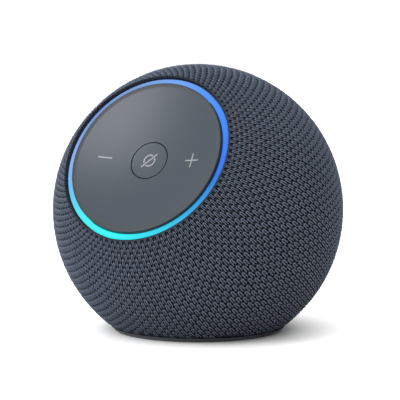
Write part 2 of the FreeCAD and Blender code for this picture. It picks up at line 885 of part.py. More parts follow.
def acoustic_deflector():
    """Low cone under the loudspeaker that turns the sound outwards."""
    arc = []
    steps = 8
    for index in range(steps + 1):
        angle = math.radians(90 * index / steps)
        radius = deflector_radius - (deflector_radius - 1.0) * math.sin(angle)
        height = ballast_top + 1.0 + (deflector_height - 1.0) * (1 - math.cos(angle))
        arc.append((radius, height))
    return turned([(0, ballast_top), (deflector_radius, ballast_top)] + arc + [(0, arc[-1][1])])


def ballast():
    plate = tube(ballast_bore, ballast_radius, floor_top, ballast_top)
    for x, y in around(ballast_screw_place, ballast_screw_angles):
        plate = plate.cut(disc(screw_radius, 0, ball_diameter, x, y))
    return plate


def ballast_screws():
    places = around(ballast_screw_place, ballast_screw_angles)
    return group([screw(x, y, ballast_top, ballast_thickness + 1.5) for x, y in places])


# ---------------------------------------------------------------- power inlet
def power_posts():
    return [(-9.0, jack_front - 5.0), (9.0, jack_front - 5.0)]


def power_board():
    board = block((24.0, 8.2, board_thickness), 0, jack_front - 4.3, power_board_bottom)
    for x, y in power_posts():
        board = board.cut(disc(screw_radius, 0, ball_diameter, x, y))
    return board


def power_board_screws():
    length = power_board_top - power_board_bottom + 3.0
    return group([screw(x, y, power_board_top, length) for x, y in power_posts()])


def along_y(radius, start, end):
    return Part.makeCylinder(radius, end - start, FreeCAD.Vector(0, start, inlet_height), Y)


def dc_jack():
    height = 2 * (inlet_height - power_board_top)
    body = block((jack_width, jack_length, height), 0, jack_front - jack_length / 2, power_board_top)
    return body.cut(along_y(jack_bore, jack_front - jack_bore_depth, jack_front + 1))


def jack_pin():
    return along_y(jack_pin_radius, jack_front - jack_bore_depth, jack_front - jack_pin_recess)


def inlet_bezel():
    wall = along_y(bezel_radius, jack_front, ball_diameter).cut(along_y(inlet_radius, 0, ball_diameter))
    return wall.common(ball(ball_radius))


def power_leads():
    """Pair of insulated leads from the inlet's board up to the main board."""
    leads = []
    for index in range(2):
        low_x = -11.2 + lead_spacing * index
        x = -15.8 * layout_scale + lead_spacing * index
        low_y = jack_front - 1.6
        turn_y = math.sqrt((chamber_radius + 1.6) ** 2 - x ** 2)
        end_y = core_y + math.sqrt(sink_radius ** 2 - (abs(x) - 1.0) ** 2) + 1.2
        points = [
            FreeCAD.Vector(low_x, low_y, power_board_top),
            FreeCAD.Vector(low_x, low_y, power_board_top + 3),
            FreeCAD.Vector(x, turn_y, chamber_floor - 3), FreeCAD.Vector(x, turn_y, chamber_shoulder),
            FreeCAD.Vector(x, main_board_radius + 2.5, board_top + 2),
            FreeCAD.Vector(x, end_y, board_top + 3), FreeCAD.Vector(x, end_y, board_top)]
        leads.append(wire(points, 0.7))
    return group(leads)


def shell_screws():
    places = around(joint_column_place, joint_angles)
    return group([
        screw(x, y, joint_screw_seat, split_height - joint_screw_seat + 6, up=-1) for x, y in places])


# ---------------------------------------------------------------- all pieces
pieces = {
    "knit_cover": knit_cover,
    "upper_shell": upper_shell,
    "lower_shell": lower_shell,
    "shell_screws": shell_screws,
    "rubber_foot": rubber_foot,
    "control_panel": control_panel,
    "volume_marks": lambda: on_face(panel_windows()),
    "mute_button": mute_button,
    "mute_icon": lambda: on_face(mute_icon_flat()),
    "mute_return_pad": return_pad,
    "mute_switch": mute_switch,
    "touch_film": touch_film,
    "light_ring": light_ring,
    "light_baffle": light_baffle,
    "led_board": led_board,
    "ring_leds": ring_leds,
    "face_carrier": face_carrier,
    "carrier_screws": carrier_screws,
    "control_board": control_board,
    "control_chips": control_chips,
    "control_screws": control_screws,
    "control_flex": control_flex,
    "microphones": microphones,
    "main_board": main_board,
    "main_chips": main_chips,
    "shield_cans": shield_cans,
    "thermal_pad": thermal_pad,
    "heat_sink": heat_sink,
    "board_screws": board_screws,
    "antenna_left": lambda: antenna(-1),
    "antenna_right": lambda: antenna(1),
    "antenna_cables": antenna_cables,
    "chamber_cup": chamber_cup,
    "chamber_plate": chamber_plate,
    "chamber_screws": chamber_screws,
    "chamber_gasket": chamber_gasket,
    "driver_basket": driver_basket,
    "driver_screws": driver_screws,
    "front_washer": front_washer,
    "driver_magnet": driver_magnet,
    "pole_piece": pole_piece,
    "voice_coil": voice_coil,
    "driver_cone": driver_cone,
    "dust_cap": dust_cap,
    "surround": surround,
    "spider": spider,
    "lead_terminal": lead_terminal,
    "speaker_leads": speaker_leads,
    "acoustic_deflector": acoustic_deflector,
    "ballast": ballast,
    "ballast_screws": ballast_screws,
    "power_board": power_board,
    "power_board_screws": power_board_screws,
    "dc_jack": dc_jack,
    "jack_pin": jack_pin,
    "inlet_bezel": inlet_bezel,
    "power_leads": power_leads,
}

os.makedirs("parts", exist_ok=True)
for name, make in pieces.items():
    make().exportStep(os.path.join("parts", name + ".step"))
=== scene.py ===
"""Smart home hub: a knit-covered ball with a tilted dished control face inside a light ring.

Metres, in the hub's own frame: origin at the centre of the flat base, +Z up, the face looks towards -Y.
"""
import json
import math
import bmesh
import bpy
import numpy as np
from mathutils import Matrix, Vector


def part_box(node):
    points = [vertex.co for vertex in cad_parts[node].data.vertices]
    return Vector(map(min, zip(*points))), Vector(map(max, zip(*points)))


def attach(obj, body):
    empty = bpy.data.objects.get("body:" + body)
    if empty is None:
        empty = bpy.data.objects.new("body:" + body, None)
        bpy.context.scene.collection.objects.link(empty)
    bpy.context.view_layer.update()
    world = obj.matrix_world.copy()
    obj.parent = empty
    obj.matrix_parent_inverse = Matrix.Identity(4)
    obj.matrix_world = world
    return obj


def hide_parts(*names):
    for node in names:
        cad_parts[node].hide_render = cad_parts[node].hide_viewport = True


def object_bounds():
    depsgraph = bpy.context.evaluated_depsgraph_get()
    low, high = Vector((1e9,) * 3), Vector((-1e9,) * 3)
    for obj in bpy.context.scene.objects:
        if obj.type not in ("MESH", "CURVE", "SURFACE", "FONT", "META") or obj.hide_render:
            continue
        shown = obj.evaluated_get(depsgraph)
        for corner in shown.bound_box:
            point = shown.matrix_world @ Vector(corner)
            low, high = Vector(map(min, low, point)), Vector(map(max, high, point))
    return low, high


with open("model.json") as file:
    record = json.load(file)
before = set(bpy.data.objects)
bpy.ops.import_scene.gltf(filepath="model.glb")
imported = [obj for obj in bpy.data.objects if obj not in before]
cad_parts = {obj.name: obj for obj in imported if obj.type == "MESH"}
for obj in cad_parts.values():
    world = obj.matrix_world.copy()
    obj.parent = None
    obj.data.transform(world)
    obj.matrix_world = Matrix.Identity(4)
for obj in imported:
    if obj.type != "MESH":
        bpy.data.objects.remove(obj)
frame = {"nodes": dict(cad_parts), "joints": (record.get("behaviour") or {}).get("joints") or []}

cad_box = [list(corner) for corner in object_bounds()]

# ---------------------------------------------------------------- casing and inner pieces
# Injection-moulded halves, carrier, speaker chamber and jack in black ABS, all under the knit.
# They keep the shapes that the design gives them, so they only need their finishes here.
mm = 0.001


def linear(code):
    """An sRGB hex colour as linear red, green, blue and alpha."""
    parts = [int(code[i:i + 2], 16) / 255 for i in (1, 3, 5)]
    return [p / 12.92 if p <= 0.04045 else ((p + 0.055) / 1.055) ** 2.4 for p in parts] + [1.0]


def add_node(material, kind, settings=None, links=None):
    """Adds a node; settings go to its properties or sockets, links join its sockets to outputs."""
    node = material.node_tree.nodes.new("ShaderNode" + kind)
    for key, value in (settings or {}).items():
        if isinstance(key, str) and hasattr(node, key):
            setattr(node, key, value)
        else:
            node.inputs[key].default_value = value
    for key, output in (links or {}).items():
        material.node_tree.links.new(output, node.inputs[key])
    return node


def new_material(name, finish):
    """A material with one principled shader; finish holds the shader's own values."""
    material = bpy.data.materials.new(name)
    material.use_nodes = True
    shader = material.node_tree.nodes["Principled BSDF"]
    for key, value in finish.items():
        shader.inputs[key].default_value = value
    return material, shader


cloud_size = 1 / 60              # of the slow change of tone across a moulding, in metres


def grained(name, finish, dark, light, grain, depth, roughness):
    """A finish whose colour, roughness and relief follow a fine grain of one real size in metres."""
    material, shader = new_material(name, finish)
    place = add_node(material, "TexCoord")
    here = {"Vector": place.outputs["Object"]}
    noise = add_node(material, "TexNoise", {"Scale": 1 / grain, "Detail": 3.0}, here)
    cloud = add_node(material, "TexNoise", {"Scale": 1 / cloud_size, "Detail": 2.0}, here)
    colour = add_node(
        material, "Mix", {"data_type": "RGBA", 6: linear(dark), 7: linear(light)}, {0: cloud.outputs["Fac"]})
    rough = add_node(
        material, "MapRange", {"To Min": roughness - 0.05, "To Max": roughness + 0.05},
        {"Value": noise.outputs["Fac"]})
    bump = add_node(
        material, "Bump", {"Distance": depth, "Strength": 1.0}, {"Height": noise.outputs["Fac"]})
    links = material.node_tree.links
    links.new(colour.outputs[2], shader.inputs["Base Color"])
    links.new(rough.outputs["Result"], shader.inputs["Roughness"])
    links.new(bump.outputs["Normal"], shader.inputs["Normal"])
    return material


def finish_nodes(material, *names):
    """Gives carried-over pieces their finish."""
    for name in names:
        piece = frame["nodes"][name]
        for place in piece.material_slots:
            place.material = material


# ABS with a spark-eroded mould texture: matt, with 0.3 mm pits that catch a little light.
moulded_abs = grained(
    "spark_textured_abs", {"IOR": 1.53}, "#16181A", "#1D1F22", 0.3 * mm, 0.01 * mm, 0.62)
finish_nodes(
    moulded_abs, "upper_shell", "lower_shell", "face_carrier", "chamber_cup", "chamber_plate",
    "driver_basket", "acoustic_deflector", "lead_terminal", "mute_switch")
# Epoxy chip packages: finer grain and a duller black.
moulded_epoxy = grained("moulded_epoxy", {"IOR": 1.55}, "#121213", "#1A1A1B", 0.12 * mm, 0.004 * mm, 0.55)
finish_nodes(moulded_epoxy, "control_chips", "main_chips")
# Green solder mask over glass-epoxy board: glossy, with the faint ripple of the cloth below.
solder_mask = grained("green_solder_mask", {"IOR": 1.5}, "#0E3A22", "#16502F", 0.6 * mm, 0.006 * mm, 0.25)
finish_nodes(solder_mask, "led_board", "control_board", "main_board", "power_board")
# White ceramic light packages.
white_ceramic = grained("white_ceramic", {"IOR": 1.6}, "#DAD9CF", "#EFEEE6", 0.2 * mm, 0.002 * mm, 0.4)
finish_nodes(white_ceramic, "ring_leds")
# Amber polyimide film of the flat cables, the touch film and the antennas.
amber_film = grained("amber_polyimide_film", {"IOR": 1.7}, "#8A4A12", "#A65F1B", 0.8 * mm, 0.003 * mm, 0.3)
finish_nodes(amber_film, "touch_film", "control_flex", "antenna_left", "antenna_right")
# Zinc-plated steel: screws, washer, pole, ballast and the jack's pin.
zinc_steel = grained(
    "zinc_plated_steel", {"Metallic": 1.0}, "#9A9C9F", "#B9BBBE", 0.25 * mm, 0.004 * mm, 0.32)
finish_nodes(
    zinc_steel, "shell_screws", "carrier_screws", "control_screws", "board_screws", "chamber_screws",
    "driver_screws", "ballast_screws", "power_board_screws", "front_washer", "pole_piece", "ballast")
# Bright tinned sheet of the shield cans and microphones.
tinned_sheet = grained(
    "bright_tinned_sheet", {"Metallic": 1.0}, "#B4B5B4", "#CFCFCD", 0.5 * mm, 0.003 * mm, 0.24)
finish_nodes(tinned_sheet, "shield_cans", "microphones")
# Extruded aluminium of the heat sink, left as it came from the die.
extruded_aluminium = grained(
    "extruded_aluminium", {"Metallic": 1.0}, "#A7A9AB", "#C3C5C7", 0.3 * mm, 0.006 * mm, 0.38)
finish_nodes(extruded_aluminium, "heat_sink")
# Sintered ferrite magnet: dark grey and slightly rough.
sintered_ferrite = grained(
    "sintered_ferrite", {"IOR": 2.2}, "#232325", "#303033", 0.15 * mm, 0.006 * mm, 0.6)
finish_nodes(sintered_ferrite, "driver_magnet")
# Enamelled copper wire of the coil.
enamelled_copper = grained(
    "enamelled_copper", {"Metallic": 1.0}, "#A85B32", "#C27545", 0.2 * mm, 0.01 * mm, 0.3)
finish_nodes(enamelled_copper, "voice_coil")
# Coated paper pulp of the cone and dust cap.
coated_pulp = grained("coated_paper_pulp", {"IOR": 1.45}, "#1B1B1B", "#262524", 0.5 * mm, 0.02 * mm, 0.75)
finish_nodes(coated_pulp, "driver_cone", "dust_cap")
# Phenolic-stiffened cloth of the spider.
stiff_cloth = grained("phenolic_cloth", {"IOR": 1.45}, "#8E6B38", "#AB854C", 0.3 * mm, 0.03 * mm, 0.8)
finish_nodes(stiff_cloth, "spider")
# Butyl rubber and foam of the surround, gasket and thermal pad.
butyl_rubber = grained("butyl_rubber", {"IOR": 1.52}, "#151515", "#1D1D1D", 0.4 * mm, 0.006 * mm, 0.55)
finish_nodes(butyl_rubber, "surround", "chamber_gasket", "thermal_pad")
# Clear-grey silicone of the button's return pad.
silicone = grained("grey_silicone", {"IOR": 1.41}, "#A9ABAD", "#BFC1C3", 0.5 * mm, 0.003 * mm, 0.45)
finish_nodes(silicone, "mute_return_pad")
# PVC sheath of the leads.
lead_sheath = grained("pvc_lead_sheath", {"IOR": 1.53}, "#141415", "#1C1C1E", 0.6 * mm, 0.003 * mm, 0.4)
finish_nodes(lead_sheath, "antenna_cables", "speaker_leads", "power_leads")

# ---------------------------------------------------------------- light baffle
# Black ABS ring that carries the light ring and keeps its light off the fabric.
# It shows as the floor of the narrow gap outside the light ring.
mute_joint = next(joint for joint in frame["joints"] if joint["name"] == "mute_press")
face_normal = -Vector(mute_joint["axis"]).normalized()
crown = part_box("knit_cover")[1].z
ball_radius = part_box("knit_cover")[1].x
ball_centre = Vector((0, 0, crown - ball_radius))
face_side = Vector((1, 0, 0))
face_up = face_normal.cross(face_side)
face_turn = Matrix((face_side, face_up, face_normal)).transposed().to_4x4()
face_axes = Matrix.Translation(ball_centre) @ face_turn
ring_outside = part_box("light_ring")[1].x
panel_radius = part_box("control_panel")[1].x
ring_gap = 0.56 * mm             # between the light ring and the edge of the knit
ring_width = 1.94 * mm
ring_recess = 1.22 * mm          # of the ring's top below the knit's edge
opening_radius = ring_outside + ring_gap
ring_inside = ring_outside - ring_width
rim_level = math.sqrt(ball_radius ** 2 - opening_radius ** 2)
ring_top = rim_level - ring_recess
wall_gap = 0.05 * mm


def deselect():
    if bpy.context.object and bpy.context.object.mode != "OBJECT":
        bpy.ops.object.mode_set(mode="OBJECT")
    bpy.ops.object.select_all(action="DESELECT")


def turned(name, outline, steps=192, ring=True):
    """A round piece drawn up from a circle, edge by edge; outline holds (radius, height) corners.

    With ring the outline closes on itself, and without it the two ends are closed with flat faces.
    """
    deselect()
    radius, height = outline[0]
    bpy.ops.mesh.primitive_circle_add(vertices=steps, radius=radius, location=(0, 0, height))
    piece = bpy.context.object
    piece.name = name
    bpy.ops.object.transform_apply(location=True, rotation=True, scale=True)
    bpy.ops.object.mode_set(mode="EDIT")
    bpy.ops.mesh.select_all(action="SELECT")
    for new_radius, new_height in outline[1:] + (outline[:1] if ring else []):
        bpy.ops.mesh.extrude_region_move(TRANSFORM_OT_translate={"value": (0, 0, new_height - height)})
        scale = new_radius / radius
        bpy.ops.transform.resize(value=(scale, scale, 1), center_override=(0, 0, 0))
        radius, height = new_radius, new_height
    bpy.ops.mesh.select_all(action="SELECT")
    bpy.ops.mesh.remove_doubles(threshold=0.002 * mm)
    bpy.ops.mesh.select_all(action="SELECT")
    bpy.ops.mesh.fill_holes(sides=0)
    bpy.ops.mesh.select_all(action="SELECT")
    bpy.ops.mesh.normals_make_consistent(inside=False)
    bpy.ops.object.mode_set(mode="OBJECT")
    return piece


def smooth(piece, angle=35):
    deselect()
    piece.select_set(True)
    bpy.context.view_layer.objects.active = piece
    bpy.ops.object.shade_smooth_by_angle(angle=math.radians(angle))


def fit(piece, material, slot_name, body, *nodes):
    """Gives a finished piece its material and its body, and hides the nodes it replaces. slot_name is not
    used.
    """
    piece.data.materials.clear()
    piece.data.materials.append(material)
    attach(piece, body)
    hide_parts(*nodes)


def arc(middle_radius, middle_height, radius, start, end, steps=6):
    """Points of a rounded corner, as (radius, height) pairs; angles in degrees."""
    points = []
    for index in range(steps + 1):
        angle = math.radians(start + (end - start) * index / steps)
        points.append((middle_radius + radius * math.cos(angle), middle_height + radius * math.sin(angle)))
    return points


baffle_round = 0.12 * mm
baffle_top = ring_top - 1.0 * mm
baffle_low = ring_top - 4.2 * mm
baffle_foot = baffle_low - 1.8 * mm
baffle_inside = panel_radius + wall_gap
shelf_low, shelf_high = ring_outside + wall_gap, opening_radius - wall_gap
baffle = turned("light_baffle_ring", (
    [(baffle_inside, baffle_foot), (baffle_inside, baffle_low), (shelf_low, baffle_low)]
    + arc(shelf_low + baffle_round, baffle_top - baffle_round, baffle_round, 180, 90, 3)
    + arc(shelf_high - baffle_round, baffle_top - baffle_round, baffle_round, 90, 0, 3)
    + [(shelf_high, baffle_foot)]))
baffle.data.transform(face_axes)
smooth(baffle)
fit(baffle, moulded_abs, "black_plastic", "hub", "light_baffle")

# ---------------------------------------------------------------- light ring
# Milky polycarbonate diffuser in its groove, lit from below by the board of light packages.
# Its colour runs from blue over the top to bright cyan at the lower left.
ring_round = 0.3 * mm
ring_depth = 4.1 * mm
light_ring = turned("light_ring_diffuser", (
    [(ring_inside, ring_top - ring_depth)]
    + arc(ring_inside + ring_round, ring_top - ring_round, ring_round, 180, 90, 5)
    + arc(ring_outside - ring_round, ring_top - ring_round, ring_round, 90, 0, 5)
    + [(ring_outside, ring_top - ring_depth)]))


def turn_uv(piece):
    """A UV map in the face's own axes: the turn around the axis, and the distance out from it."""
    layer = piece.data.uv_layers.new(name="turn")
    for polygon in piece.data.polygons:
        middle = math.atan2(polygon.center.y, polygon.center.x)
        for loop in polygon.loop_indices:
            point = piece.data.vertices[piece.data.loops[loop].vertex_index].co
            turn = math.atan2(point.y, point.x)
            turn += math.tau * round((middle - turn) / math.tau)
            layer.data[loop].uv = (turn / math.tau + 0.5, math.hypot(point.x, point.y) / opening_radius)


turn_uv(light_ring)
light_ring.data.transform(face_axes)
smooth(light_ring)
# Polycarbonate with a white diffuser filler: soft and even, a little glossy on top.
milky_polycarbonate, shader = new_material(
    "lit_milky_polycarbonate", {"Base Color": linear("#05070A"), "Roughness": 0.35, "IOR": 1.58,
                                "Specular IOR Level": 0.08, "Emission Strength": 0.95})
turn = add_node(milky_polycarbonate, "UVMap", {"uv_map": "turn"})
turn = add_node(milky_polycarbonate, "SeparateXYZ", links={"Vector": turn.outputs["UV"]})
glow = add_node(milky_polycarbonate, "ValToRGB", links={"Fac": turn.outputs["X"]})
# Light around the ring, as the turn from the left (0) over the bottom, right and top back to the left.
lit_colours = [
    (0.00, "#8AB2F2"), (0.067, "#6FBEF9"), (0.10, "#5FD4FA"), (0.15, "#40F6FD"), (0.233, "#2CFDFE"),
    (0.267, "#26ECF8"), (0.333, "#26CCEE"), (0.40, "#219FE4"), (0.467, "#1C78DE"), (0.50, "#2C78EE"),
    (0.583, "#3E8CFB"), (0.667, "#5297FA"), (0.72, "#72A6F9"), (0.78, "#78A4EC"), (0.83, "#7B9EDC"),
    (0.92, "#789CD8"), (1.00, "#8AB2F2")]
ramp = glow.color_ramp
ramp.elements.remove(ramp.elements[1])
ramp.elements[0].color = linear(lit_colours[0][1])
for place, code in lit_colours[1:]:
    ramp.elements.new(place).color = linear(code)
milky_polycarbonate.node_tree.links.new(glow.outputs["Color"], shader.inputs["Emission Color"])
fit(light_ring, milky_polycarbonate, "light_diffuser", "hub", "light_ring")

# ---------------------------------------------------------------- control panel
# Polycarbonate-ABS disc hollowed like a shallow dish, painted a satin metallic grey.
# Its skirt is glued on the carrier's rib, and it carries the touch film on its back.
panel_proud = 1.2 * mm           # of the ring's top
panel_edge = ring_top + panel_proud
dish_depth = 3.7 * mm
dish_radius = (panel_radius ** 2 + dish_depth ** 2) / (2 * dish_depth)
panel_wall = 1.8 * mm
button_radius = 7.02 * mm
button_gap = 0.28 * mm
hole_radius = button_radius + button_gap


def dish_level(radius):
    """Height of the panel's hollow at a distance from its axis."""
    return panel_edge - dish_depth + dish_radius - math.sqrt(dish_radius ** 2 - radius ** 2)


def dish_run(start, end, steps, drop=0.0):
    radii = [start + (end - start) * index / steps for index in range(steps + 1)]
    return [(radius, dish_level(radius) - drop) for radius in radii]


edge_round = 0.14 * mm
rim_round = 0.45 * mm
skirt_low = panel_edge - 4.6 * mm
skirt_inside = panel_radius - 1.5 * mm
# Level below which the skirt's side is given painted shade.
skirt_shade_top = panel_edge - 0.6 * rim_round
panel = turned("control_panel_dish", (
    [(hole_radius, dish_level(hole_radius) - panel_wall)]
    + arc(hole_radius + edge_round, dish_level(hole_radius) - edge_round, edge_round, 180, 90, 4)
    + dish_run(hole_radius + 2 * edge_round, panel_radius - 1.6 * rim_round, 24)
    + arc(panel_radius - rim_round, panel_edge - rim_round, rim_round, 84, 0, 8)
    + [(panel_radius, skirt_low), (skirt_inside, skirt_low)]
    + dish_run(skirt_inside, hole_radius, 6, panel_wall)[:-1]))
# The skirt's faces below the rim's rounding, which get the painted shade.
shaded_skirt_sides = [
    side.index for side in panel.data.polygons
    if side.center.z < skirt_shade_top and math.hypot(side.center.x, side.center.y) > skirt_inside]
panel.data.transform(face_axes)
smooth(panel, 30)
# Satin metallic paint: fine aluminium flake of about 0.1 mm under a soft clear coat.
satin_paint, shader = new_material(
    "satin_metallic_paint", {"IOR": 1.5, "Specular IOR Level": 0.33})
place = add_node(satin_paint, "TexCoord")
flake = add_node(
    satin_paint, "TexVoronoi", {"Scale": 1 / (0.14 * mm)}, {"Vector": place.outputs["Object"]})
flake_tone = add_node(
    satin_paint, "MapRange", {"To Min": 0.35, "To Max": 0.65}, {"Value": flake.outputs["Color"]})
paint = add_node(
    satin_paint, "Mix", {"data_type": "RGBA", 6: linear("#1B222A"), 7: linear("#232C35")},
    {0: flake_tone.outputs["Result"]})
haze = add_node(
    satin_paint, "TexNoise", {"Scale": 1 / (1.2 * mm), "Detail": 3.0},
    {"Vector": place.outputs["Object"]})
haze_rough = add_node(
    satin_paint, "MapRange", {"To Min": 0.31, "To Max": 0.35}, {"Value": haze.outputs["Fac"]})
orange_peel = add_node(
    satin_paint, "Bump", {"Distance": 0.002 * mm, "Strength": 0.5}, {"Height": haze.outputs["Fac"]})
links = satin_paint.node_tree.links
links.new(paint.outputs[2], shader.inputs["Base Color"])
links.new(haze_rough.outputs["Result"], shader.inputs["Roughness"])
links.new(orange_peel.outputs["Normal"], shader.inputs["Normal"])
fit(panel, satin_paint, "panel_plastic", "hub", "control_panel")
# The skirt's side takes black plastic as painted shade, standing in for the shade along the panel's side; the
# ring's light gives it a dark blue glow.
panel.data.materials.append(moulded_abs)
for index in shaded_skirt_sides:
    panel.data.polygons[index].material_index = 1

# ---------------------------------------------------------------- volume marks
# Minus on the left and plus on the right: translucent white bars, the panel's second shot.
# Each bar is a cube drawn out and cut into short lengths, so that it follows the hollow.
mark_spacing = 17.9 * mm
mark_length = 5.45 * mm
mark_stroke = 0.48 * mm
mark_lift = 0.02 * mm
mark_sink = 0.35 * mm


def on_dish(piece, lift, sink):
    """Lays a flat outline on the panel, its top just above the hollow and its foot in the wall."""
    for vertex in piece.data.vertices:
        level = dish_level(math.hypot(vertex.co.x, vertex.co.y))
        vertex.co.z = level + lift if vertex.co.z > 0 else level - sink


def bar(name, length, stroke, x=0.0, y=0.0, angle=0.0):
    deselect()
    bpy.ops.mesh.primitive_cube_add(size=2)
    piece = bpy.context.object
    piece.name = name
    bpy.ops.object.mode_set(mode="EDIT")
    bpy.ops.mesh.select_all(action="SELECT")
    bpy.ops.transform.resize(value=(length / 2, stroke / 2, 1), center_override=(0, 0, 0))
    for step in range(1, 8):
        across = -length / 2 + length * step / 8
        bpy.ops.mesh.select_all(action="SELECT")
        bpy.ops.mesh.bisect(plane_co=(across, 0, 0), plane_no=(1, 0, 0))
    bpy.ops.object.mode_set(mode="OBJECT")
    piece.data.transform(Matrix.Translation((x, y, 0)) @ Matrix.Rotation(math.radians(angle), 4, "Z"))
    return piece


def joined(name, parts):
    deselect()
    for part in parts:
        part.select_set(True)
    bpy.context.view_layer.objects.active = parts[0]
    bpy.ops.object.join()
    parts[0].name = name
    return parts[0]


marks = joined("volume_mark_inlays", [
    bar("minus_bar", mark_length, mark_stroke, -mark_spacing),
    bar("plus_bar", mark_length, mark_stroke, mark_spacing),
    bar("plus_upright", mark_length, mark_stroke, mark_spacing, 0, 90)])
on_dish(marks, mark_lift, mark_sink)
marks.data.transform(face_axes)
# Translucent white polycarbonate, flush with the paint, with a faint cloudiness.
milk_white = grained(
    "milk_white_polycarbonate", {"IOR": 1.58}, "#5C5E60", "#646669", 0.4 * mm, 0.001 * mm, 0.4)
fit(marks, milk_white, "mark_window", "hub", "volume_marks")

# ---------------------------------------------------------------- mute button
# Round cap cut out of the same dish, in the same paint, with an open groove around it.
# A flange under the panel holds it in, and a silicone pad returns it when it is let go.
pole_gap = 0.05 * mm             # a closed piece starts this far from its axis and is capped there
button_low = dish_level(0) - panel_wall - 0.2 * mm
flange_radius = hole_radius + 1.2 * mm
flange_low = button_low - 0.8 * mm
button = turned("mute_button_cap", (
    [(pole_gap, flange_low), (flange_radius, flange_low)]
    + [(flange_radius, button_low), (button_radius, button_low)]
    + arc(button_radius - edge_round, dish_level(button_radius) - edge_round, edge_round, 0, 90, 4)
    + dish_run(button_radius - 2 * edge_round, pole_gap, 10)), ring=False)
button.data.transform(face_axes)
smooth(button, 30)
fit(button, satin_paint, "panel_plastic", "mute_button", "mute_button")

# ---------------------------------------------------------------- mute symbol
# A slashed circle moulded into the cap: a ring broken on both sides of a slanting bar.
# The ring is turned, then the faces beside the bar are taken away and the ends closed.
icon_radius = 2.14 * mm
icon_stroke = 0.5 * mm
icon_slash = 7.45 * mm
icon_gap = 0.4 * mm
slash_angle = 45
icon_ring = turned("mute_symbol_ring", [
    (icon_radius - icon_stroke / 2, -0.001), (icon_radius + icon_stroke / 2, -0.001),
    (icon_radius + icon_stroke / 2, 0.001), (icon_radius - icon_stroke / 2, 0.001)], steps=96)
slash_side = Vector((-math.sin(math.radians(slash_angle)), math.cos(math.radians(slash_angle)), 0))
break_half = icon_stroke / 2 + icon_gap
bpy.ops.object.mode_set(mode="EDIT")
for side in (1, -1):
    bpy.ops.mesh.select_all(action="SELECT")
    bpy.ops.mesh.bisect(plane_co=slash_side * break_half * side, plane_no=slash_side)
bpy.ops.mesh.select_all(action="DESELECT")
ring_mesh = bmesh.from_edit_mesh(icon_ring.data)
for face in ring_mesh.faces:
    face.select = abs(face.calc_center_median().dot(slash_side)) < break_half
bmesh.update_edit_mesh(icon_ring.data)
bpy.ops.mesh.delete(type="FACE")
bpy.ops.mesh.select_all(action="SELECT")
bpy.ops.mesh.fill_holes(sides=0)
bpy.ops.mesh.normals_make_consistent(inside=False)
bpy.ops.object.mode_set(mode="OBJECT")
icon = joined("mute_symbol", [
    icon_ring, bar("mute_slash", icon_slash, icon_stroke, 0, 0, slash_angle)])
on_dish(icon, mark_lift, mark_sink)
icon.data.transform(face_axes)
fit(icon, milk_white, "mark_window", "mute_button", "mute_icon")

# ---------------------------------------------------------------- knit ground
# 3D-knitted polyester sock, pulled over the casing from the front and turned in at the face.
# This is its flat ground: a thin closed skin with the dark meshes between the loops.
cover_thickness = 0.9 * mm
ground_sink = 0.42 * mm          # ground below the crests of the loops
turn_in_depth = 5.0 * mm
columns = 88                     # loops around the face's axis, in each of two staggered sets
rows_per_turn = 0.266 * 360      # rows of loops along a meridian
knit_start = math.asin(opening_radius / ball_radius) + math.radians(0.4)
ground_radius = ball_radius - ground_sink
lining_radius = ball_radius - cover_thickness + 0.01 * mm
knit_end = math.radians(176)


def knit_row(angle):
    """Row of the knit at an angle from the face's axis, counted from the turned-in edge."""
    return (angle - knit_start) / math.tau * rows_per_turn


def sphere_run(radius, start, end, steps):
    angles = [start + (end - start) * index / steps for index in range(steps + 1)]
    return [(radius * math.sin(angle), radius * math.cos(angle)) for angle in angles]


lip_inside = opening_radius + 0.02 * mm
lip_round = 0.28 * mm
lip_middle = lip_inside + lip_round
lip_level = math.sqrt((ball_radius - 0.05 * mm) ** 2 - lip_middle ** 2) - lip_round
ground_edge = math.asin((lip_middle + 0.9 * mm) / ground_radius)
lining_edge = math.asin((opening_radius + cover_thickness) / lining_radius)
lip_low = lip_level - turn_in_depth
ground = turned("knit_ground", (
    [(lip_inside + 0.7 * mm, lip_low), (lip_inside, lip_low)]
    + arc(lip_middle, lip_level, lip_round, 180, 60, 6)
    + sphere_run(ground_radius, ground_edge, knit_end, 70)
    + sphere_run(lining_radius, knit_end, lining_edge, 50)
    + [(opening_radius + cover_thickness, lip_level - 1.5 * mm)]), steps=264)


def ball_angles(point):
    """Angle from the face's axis, and turn around it."""
    return math.atan2(math.hypot(point.x, point.y), point.z), math.atan2(point.y, point.x)


def knit_uv(piece):
    """A UV map that counts knit cells: columns around the axis, and rows away from the face."""
    layer = piece.data.uv_layers.new(name="knit")
    for polygon in piece.data.polygons:
        middle = ball_angles(polygon.center)[1]
        for loop in polygon.loop_indices:
            away, turn = ball_angles(piece.data.vertices[piece.data.loops[loop].vertex_index].co)
            turn += math.tau * round((middle - turn) / math.tau)
            layer.data[loop].uv = (turn / math.tau * columns, knit_row(away))


knit_uv(ground)
ground.data.transform(face_axes)
foot_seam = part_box("knit_cover")[0].z
bezel_low, bezel_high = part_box("inlet_bezel")
inlet_centre = (bezel_low + bezel_high) / 2
bezel_radius = (bezel_high.x - bezel_low.x) / 2


def cut_below(piece, height):
    """Cuts a closed piece off level above the foot, and closes it again."""
    deselect()
    piece.select_set(True)
    bpy.context.view_layer.objects.active = piece
    bpy.ops.object.mode_set(mode="EDIT")
    bpy.ops.mesh.select_all(action="SELECT")
    bpy.ops.mesh.bisect(plane_co=(0, 0, height), plane_no=(0, 0, -1), clear_outer=True, use_fill=True)
    bpy.ops.object.mode_set(mode="OBJECT")


